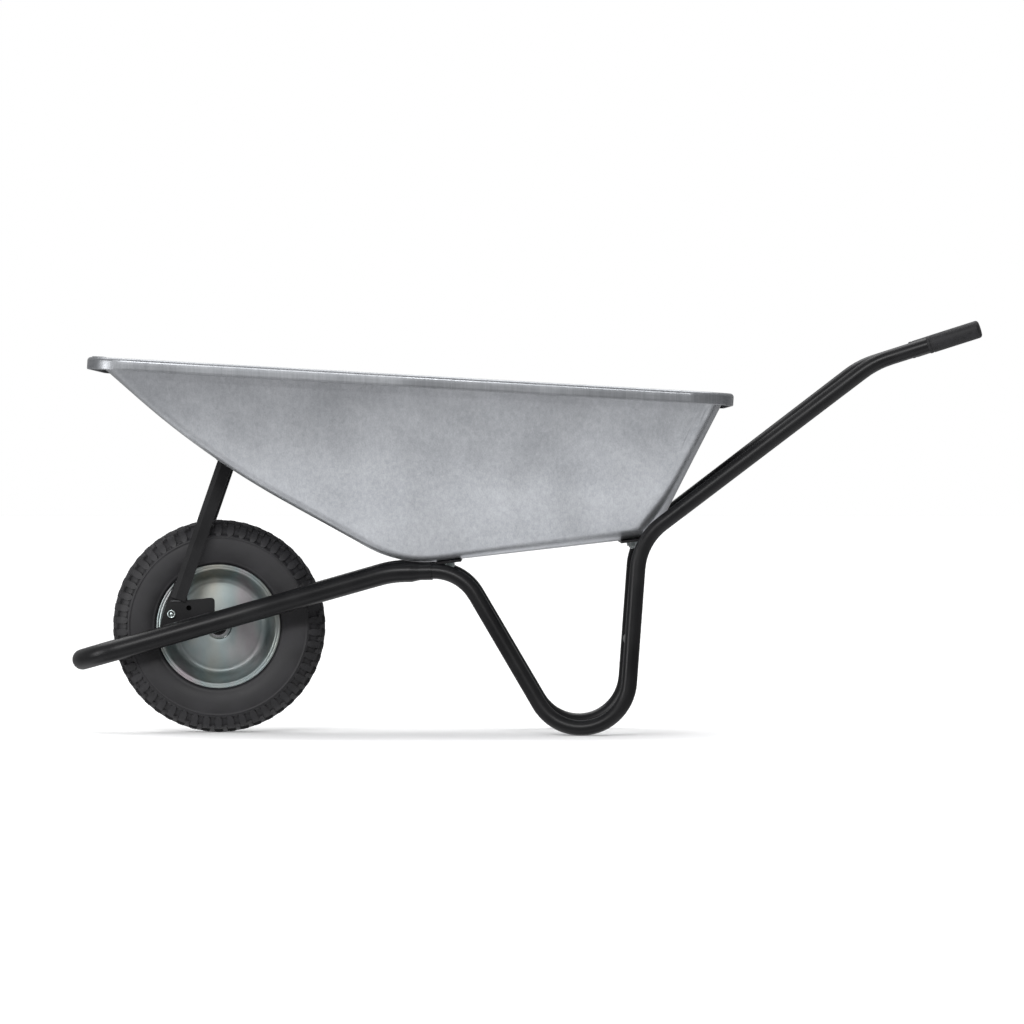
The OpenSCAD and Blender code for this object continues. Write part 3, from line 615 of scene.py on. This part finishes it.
# ---- Tyre: carcass with shoulder lugs, a zig-zag row of small blocks and a centre rib ----
def make_tyre():
    low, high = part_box("tyre")
    outer_r = (high.z - low.z) / 2
    half_w = (high.y - low.y) / 2
    section_r = 132 * MM
    half_h = outer_r - section_r
    power = 2 / 2.4
    lugs = 50
    groove = 4.2 * MM
    inner_t = 6 * MM
    # Shares of the lugs' pitch: half of a small block's width, and the run of a groove's wall
    block_w = 0.165
    wall_run = 0.022

    def bent(value):
        return math.copysign(abs(value) ** power, value)

    def ramp(value, start, end):
        t = min(max((value - start) / (end - start), 0), 1)
        return t * t * (3 - 2 * t)

    def section(phi, inset):
        return (
            section_r + (half_h - inset) * bent(math.cos(phi)),
            (half_w - inset) * bent(math.sin(phi)),
        )

    def lug_half(deg):
        """Half width of a shoulder lug as a share of the pitch; its outer end is round."""
        near = 0.215 + 0.065 * ramp(deg, 36, 60)
        return near * math.sqrt(max(1 - (max(deg - 61, 0) / 10.2) ** 2, 0.06))

    def heights(deg):
        """Height of the small blocks, the lugs and the rib at an angle from the crown."""
        lug = ramp(deg, 33.5, 35.5) * (1 - ramp(deg, 68.5, 71.5))
        block = ramp(deg, 14, 16) * (1 - ramp(deg, 37, 39))
        rib = 1 - ramp(deg, 8.5, 10.5)
        return max(block, rib * 0.86), max(lug, rib), rib * 0.86

    # Degrees from the crown where the tread or sidewall changes; a raised ring's have its height in mm
    tread = [0, 3, 6, 8.5, 9.5, 10.5, 14, 15, 16, 20, 25, 30, 33.5, 34.5, 35.5, 37, 38, 39, 43, 48, 53, 58,
             61, 63.5, 65.5, 67, 68.5, 70, 71.5]
    line_ring = {72.8: 0.0, 73.6: 0.9, 75.0: 0.9, 75.8: 0.0}
    bead_ring = {121.0: 0.0, 122.0: 0.6, 125.0: 0.6, 126.0: 0.0}
    plain = [79, 84, 90, 97, 104, 111, 117, 131, 136, 141, 146, 149.5]
    raised = {**line_ring, **bead_ring}
    angles = sorted(tread + list(raised) + plain)
    rows = [-a for a in angles[:0:-1]] + angles
    verts = []
    for deg in rows:
        phi = math.radians(deg)
        size = abs(deg)
        lug_w = lug_half(size)
        deep = groove * (1 - ramp(size, 62, 72.5))
        block, lug, floor_h = heights(size)
        lines = [
            (0, block), (block_w * 0.6, block), (block_w, block), (block_w + wall_run, floor_h),
            (0.5 - lug_w - wall_run, floor_h), (0.5 - lug_w, lug), (0.5, lug),
            (0.5 + lug_w, lug), (0.5 + lug_w + wall_run, floor_h),
            (1 - block_w - wall_run, floor_h), (1 - block_w, block), (1 - block_w * 0.6, block),
        ]
        for k in range(lugs):
            for share, height in lines:
                inset = deep * (1 - height) - raised.get(size, 0) * MM
                r, y = section(phi, inset)
                y = max(min(y, half_w), -half_w)
                verts.append(around(axle, r, y, 2 * math.pi * (k + share) / lugs))
    cols = lugs * len(lines)
    # The inside of the carcass closes the section
    inside = range(140, -141, -20)
    for deg in inside:
        r, y = section(math.radians(deg), inner_t)
        for k in range(cols):
            verts.append(around(axle, r, y, 2 * math.pi * k / cols))
    faces = grid_faces(len(rows) + len(inside), cols, True, True)
    obj = add_piece("tyre_tread", verts, faces, TYRE, "wheel")
    face_outwards(obj)
    obj.data.set_sharp_from_angle(angle=math.radians(50))
    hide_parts("tyre")


make_tyre()


# ---- Pressed rim halves ----
# The sheet's middle line: radius and distance from the wheel's middle plane, in mm
RIM_LINE = [
    (20.9, 15.5), (26, 13.2), (36, 10.2), (50, 6.2), (66, 2.3), (70, 1.2), (74, 1.5), (78, 3.6), (81.5, 7.4),
    (84, 12), (86.2, 17.5), (88.3, 23.2), (90.3, 28), (92.2, 32), (93.8, 34.6), (95.6, 35.8), (96.9, 35.2),
    (98.0, 34.9), (99.2, 35.5), (100.4, 35.5), (101.2, 34.6),
]


def make_rim(side, name):
    rim_t = 2 * MM
    line = [Vector((p.x, side * p.y)) * MM for p in smooth_line(RIM_LINE, 4)]
    obj = lathe(name + "_pressed", axle, thickened(line, rim_t), 160, RIM_ZINC, "wheel")
    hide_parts(name)


make_rim(-1, "rim_left")
make_rim(1, "rim_right")


# ---- Leg plane: the bent handle tubes lie in planes splayed from the middle ----
SPLAY = math.radians(9)
FOOT_X, FOOT_HALF_W = 95.0, 187.0
GRIP_ANGLE = math.radians(17.5)
LEG_R = 12.5


def in_leg_plane(u, z, side):
    return Vector((FOOT_X + u * math.cos(SPLAY), side * (FOOT_HALF_W + u * math.sin(SPLAY)), z)) * MM


def grip_axis(side):
    return Vector((
        math.cos(GRIP_ANGLE) * math.cos(SPLAY), side * math.cos(GRIP_ANGLE) * math.sin(SPLAY),
        math.sin(GRIP_ANGLE),
    ))


def frame_across(along):
    """Two directions square to a line."""
    aside = along.cross(Vector((0, 1, 0))).normalized()
    return aside, along.cross(aside).normalized()


def make_grip(side, name):
    low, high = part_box(name)
    along = grip_axis(side)
    length = 88 * MM
    outer_r = 14.4 * MM
    bore_r = (LEG_R + 0.1) * MM
    round_r = 5 * MM
    reach = round_r * (1 - along.x) + (outer_r - round_r) * math.sqrt(1 - along.x ** 2)
    tip_x = high.x - reach
    tip_u = (tip_x / MM - FOOT_X) / math.cos(SPLAY)
    aside, upright = frame_across(along)
    # The end face's middle, a sleeve's length from the lower end's middle
    tip = in_leg_plane(tip_u, 0, side)
    tip.z = low.z + outer_r * math.sqrt(1 - along.z ** 2) + length * along.z
    outline = [(bore_r, 0), (outer_r - 0.9 * MM, 0), (outer_r - 0.2 * MM, 0.3 * MM), (outer_r, 1.0 * MM),
               (outer_r, 4.2 * MM), (outer_r - 0.15 * MM, 4.8 * MM), (outer_r - 0.55 * MM, 5.2 * MM),
               (outer_r - 0.55 * MM, 6.4 * MM), (outer_r - 0.15 * MM, 6.9 * MM), (outer_r, 7.6 * MM)]
    outline += [(outer_r, length * t) for t in (0.3, 0.5, 0.7, 0.85)]
    for k in range(9):
        a = math.radians(90 * k / 8)
        outline.append((outer_r - round_r * (1 - math.cos(a)), length - round_r * (1 - math.sin(a))))
    outline += [(outer_r * 0.35, length - 0.05 * MM), (outer_r * 0.08, length - 0.3 * MM)]
    outline += [(outer_r * 0.08, length - 3 * MM), (bore_r, length - 3 * MM)]
    segments = 64
    verts = []
    for k in range(segments):
        a = 2 * math.pi * k / segments
        spoke = aside * math.cos(a) + upright * math.sin(a)
        verts += [tip - along * (length - at) + spoke * r for r, at in outline]
    faces = grid_faces(segments, len(outline), True, True)
    obj = add_piece(name + "_sleeve", verts, faces, GRIP, "frame")
    face_outwards(obj)
    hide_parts(name)


make_grip(-1, "grip_left")
make_grip(1, "grip_right")


# ---- Weld beads ----
def make_bead(name, start, end, radius):
    """A rippled, flattened bead along a straight line, with tapered ends."""
    flat = 0.75
    round_steps = 10
    step_l = 0.55 * MM
    ripple_every = 2.2 * MM
    ripple_size, uneven_size, uneven_scale = 0.13, 0.10, 210
    taper = 2.5 * radius
    length = (end - start).length
    steps = int(length / step_l)
    along = (end - start) / length
    aside = along.cross(Vector((0.31, 0.87, 0.38))).normalized()
    up = along.cross(aside)
    verts = []
    for k in range(steps + 1):
        at = length * k / steps
        centre = start + along * at
        ripple = ripple_size * math.sin(2 * math.pi * at / ripple_every)
        size = radius * (1 + ripple + uneven_size * noise.noise(centre * uneven_scale))
        to_end = min(at, length - at)
        if to_end < taper:
            size *= math.sqrt(max(to_end / taper, 0.02))
        for j in range(round_steps):
            a = 2 * math.pi * j / round_steps
            verts.append(centre + aside * size * math.cos(a) + up * size * flat * math.sin(a))
    faces = grid_faces(steps + 1, round_steps, False, True)
    last = steps * round_steps
    faces += [tuple(range(round_steps)), tuple(range(last + round_steps - 1, last - 1, -1))]
    face_outwards(add_piece(name, verts, faces, WELD, "frame"))


LOOP_ANGLE = math.radians(15.9)
GUSSET_OUT = 64.0


def loop_z(x):
    return 183.9 + (x - axle.x / MM) * math.tan(LOOP_ANGLE)


def gusset_weld(side, name):
    bead_y, bead_up, bead_r = GUSSET_OUT + 2.5, 14.5, 3.6
    ends = (-594, -506)
    start, end = [Vector((x, side * bead_y, loop_z(x) + bead_up / math.cos(LOOP_ANGLE))) * MM for x in ends]
    make_bead("weld_gusset_" + name, start, end, bead_r * MM)


def brace_weld(side, name):
    stand, bead_r = 1.2, 1.5
    ends = (-577, -559)
    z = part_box("front_brace")[0].z / MM + stand
    start, end = [Vector((x, side * (GUSSET_OUT + stand), z)) * MM for x in ends]
    make_bead("weld_brace_" + name, start, end, bead_r * MM)


for side, side_name in ((-1, "left"), (1, "right")):
    gusset_weld(side, side_name)
    brace_weld(side, side_name)


# ---- Bracket bolt heads and the gussets' spare holes ----
BOLT_PLACE = Vector((-575.4, 0, 195.3)) * MM
HOLE_PLACE = Vector((-546.8, 0, 205.4)) * MM


def bolt_face(side, name):
    """The head's raised rim and its middle, around a round recess: (radius, height) in mm."""
    head = GUSSET_OUT + 4.5
    face = [(0.05, -0.4), (0.05, 0.75), (1.1, 0.65), (1.9, 0.1), (4.3, 0.1), (4.7, 0.7), (5.1, 0.95),
            (6.1, 0.95), (6.6, 0.7), (6.9, 0.2), (6.9, -0.4)]
    outline = [(r * MM, side * (head + up) * MM) for r, up in face]
    lathe("bolt_face_" + name, BOLT_PLACE, outline, 40, ZINC, "frame")


def painted_shadow_cup(side, name):
    """A cup of painted shadow inside the spare hole, closed at its back: (radius, height) in mm."""
    wall = [(0.05, -2.8), (0.05, -2.2), (3.9, -2.2), (3.9, -0.15), (4.2, -0.15), (4.2, -2.8)]
    outline = [(r * MM, side * (GUSSET_OUT + up) * MM) for r, up in wall]
    lathe("hole_lining_" + name, HOLE_PLACE, outline, 32, SHADE, "frame")


for side, side_name in ((-1, "left"), (1, "right")):
    bolt_face(side, side_name)
    painted_shadow_cup(side, side_name)


# ---- Stage, light and camera ----
CAMERA_AWAY = 13.0
CAMERA_X = -0.0169
CAMERA_Z = 0.430
VIEW_W = 1.6877
SENSOR_W = 36.0
HORIZON_SHIFT = -0.0400


def make_floor():
    half = 60.0
    mesh = bpy.data.meshes.new("floor")
    corners = [(-half, -half, 0), (half, -half, 0), (half, half, 0), (-half, half, 0)]
    mesh.from_pydata(corners, [], [(0, 1, 2, 3)])
    obj = bpy.data.objects.new("floor", mesh)
    bpy.context.scene.collection.objects.link(obj)
    glow = 0.03
    paint = Paint("pale_floor", Specular_IOR_Level=0.0, Emission_Color=(1, 1, 1, 1), Emission_Strength=glow)
    cloud = paint.noise(2.0, 2.0)
    colour = paint.ramp(cloud, [(0.3, (0.86, 0.86, 0.86)), (0.7, (0.88, 0.88, 0.88))])
    roughness = paint.ramp(cloud, [(0.3, 0.8), (0.7, 0.9)])
    mesh.materials.append(paint.connect(colour, roughness))
    obj.visible_glossy = False


def make_world():
    """White to the camera. Light and reflections come from a dim room over a pale, lit floor."""
    # Grey value at the height of a direction, from straight down (-1) to straight up (1)
    sky = (
        (-1.0, 0.40), (-0.92, 1.20), (-0.82, 2.00), (-0.70, 1.15), (-0.55, 0.70),
        (-0.20, 0.36), (0.05, 0.36), (0.40, 0.50), (1.0, 0.80),
    )
    world = bpy.data.worlds.new("studio")
    bpy.context.scene.world = world
    world.use_nodes = True
    tree = world.node_tree
    tree.nodes.clear()

    def node(kind, *links):
        new = tree.nodes.new("ShaderNode" + kind)
        for socket, value in enumerate(links):
            if value is not None:
                tree.links.new(value, new.inputs[socket])
        return new

    direction = node("TexCoord").outputs["Generated"]
    height = node("MapRange", node("SeparateXYZ", direction).outputs["Z"])
    height.inputs["From Min"].default_value = -1
    ramp = node("ValToRGB", height.outputs[0])
    band = ramp.color_ramp
    while len(band.elements) < len(sky):
        band.elements.new(0.5)
    for element, (at, grey) in zip(band.elements, sky):
        element.position = (at + 1) / 2
        element.color = (grey, grey, grey * 1.01, 1)
    seen = node("Background")
    seen.inputs["Color"].default_value = (1, 1, 1, 1)
    lit = node("Background", ramp.outputs["Color"])
    pick = node("MixShader", node("LightPath").outputs["Is Camera Ray"], lit.outputs[0], seen.outputs[0])
    node("OutputWorld", pick.outputs[0])


def add_sun(name, tilt, angle, strength):
    """A broad, even light from above, the same over the whole floor."""
    lamp = bpy.data.lights.new(name, "SUN")
    lamp.angle = math.radians(angle)
    lamp.energy = strength
    obj = bpy.data.objects.new(name, lamp)
    obj.rotation_euler = [math.radians(a) for a in tilt]
    bpy.context.scene.collection.objects.link(obj)


def add_softbox(name, place, target, size, power):
    lamp = bpy.data.lights.new(name, "AREA")
    lamp.shape = "RECTANGLE"
    lamp.size, lamp.size_y = size
    lamp.energy = power
    obj = bpy.data.objects.new(name, lamp)
    obj.location = place
    obj.rotation_euler = (Vector(target) - Vector(place)).to_track_quat("-Z", "Y").to_euler()
    obj.visible_camera = False
    bpy.context.scene.collection.objects.link(obj)
    return obj


def shade_from(light, names):
    """A flag that keeps a light off the named objects."""
    shaded = bpy.data.collections.new(light.name + "_flag")
    for name in names:
        shaded.objects.link(bpy.data.objects[name])
    for member in shaded.collection_objects:
        member.light_linking.link_state = "EXCLUDE"
    light.light_linking.receiver_collection = shaded


def make_camera():
    data = bpy.data.cameras.new("camera")
    data.sensor_width = SENSOR_W
    data.lens = SENSOR_W * CAMERA_AWAY / VIEW_W
    data.shift_y = HORIZON_SHIFT
    data.clip_end = 200
    obj = bpy.data.objects.new("camera", data)
    obj.location = (CAMERA_X, -CAMERA_AWAY, CAMERA_Z)
    obj.rotation_euler = (math.radians(90), 0, 0)
    bpy.context.scene.collection.objects.link(obj)
    bpy.context.scene.camera = obj


make_floor()
make_world()
add_sun("overhead_light", (-24, -4, 0), 55, 2.6)
KEY_PLACE, KEY_TARGET, KEY_SIZE = (-1.2, -4.4, 2.3), (0, 0, 0.35), (3.2, 0.30)
# Most of the key light is flagged off the rim, which would shine white in it
key_light = add_softbox("key_light", KEY_PLACE, KEY_TARGET, KEY_SIZE, 145)
shade_from(key_light, ("rim_left_pressed", "rim_right_pressed"))
add_softbox("key_light_for_all", KEY_PLACE, KEY_TARGET, KEY_SIZE, 45)
add_softbox("front_corner_light", (-3.4, -1.6, 0.55), (-0.6, -0.2, 0.40), (0.9, 1.3), 48)
make_camera()
bpy.context.scene.view_settings.view_transform = "Standard"
